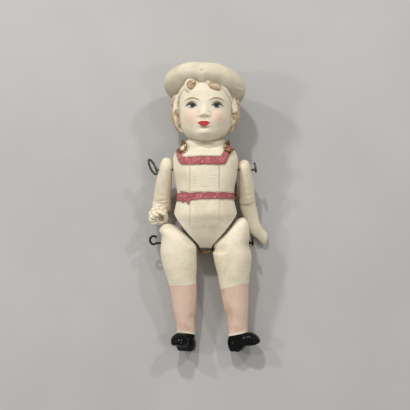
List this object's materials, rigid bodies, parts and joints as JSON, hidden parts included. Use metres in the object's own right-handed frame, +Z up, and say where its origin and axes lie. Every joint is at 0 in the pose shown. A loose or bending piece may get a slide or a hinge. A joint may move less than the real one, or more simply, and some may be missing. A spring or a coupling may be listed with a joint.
{
  "type": "bisque doll",
  "caption": "Small all-bisque doll with moulded cap, curls and romper, its arms and legs turning on wires, lying on its back.",
  "frame": {"origin": "middle of the lying doll's footprint, on the table", "axes": "+Y towards the head, +Z up from the table out of the doll's front, +X towards the doll's own left arm (viewer's right)"},
  "size_m": [0.044, 0.1044, 0.0252],
  "materials": {
    "bisque": "unglazed cream-white bisque with painted hair, face and rose trim",
    "stocking_bisque": "unglazed bisque with a painted pale pink stocking and a glossy black shoe",
    "grey_iron_wire": "dull grey iron wire",
    "black_iron_wire": "blackened iron wire",
    "brass_wire": "worn brass wire"
  },
  "bodies": {
    "body": {"head_torso": "bisque", "shoulder_wire": "grey_iron_wire", "hip_wire": "black_iron_wire", "brass_hanger": "brass_wire"},
    "left_arm": {"arm_left": "bisque"},
    "right_arm": {"arm_right": "bisque"},
    "left_leg": {"leg_left": "stocking_bisque"},
    "right_leg": {"leg_right": "stocking_bisque"}
  },
  "joints": [
    {"name": "left_shoulder", "type": "hinge", "parent": "body", "child": "left_arm", "pos_m": [-0.00097, 0.01378, 0.01078], "axis": [-1, 0, 0], "continuous": true},
    {"name": "right_shoulder", "type": "hinge", "parent": "body", "child": "right_arm", "pos_m": [-0.00097, 0.01378, 0.01078], "axis": [-1, 0, 0], "continuous": true},
    {"name": "left_hip", "type": "hinge", "parent": "body", "child": "left_leg", "pos_m": [-0.00097, -0.0128, 0.00822], "axis": [-1, 0, 0], "range_deg": [-12, 60]},
    {"name": "right_hip", "type": "hinge", "parent": "body", "child": "right_leg", "pos_m": [-0.00097, -0.0128, 0.00822], "axis": [-1, 0, 0], "range_deg": [-12, 60]}
  ]
}
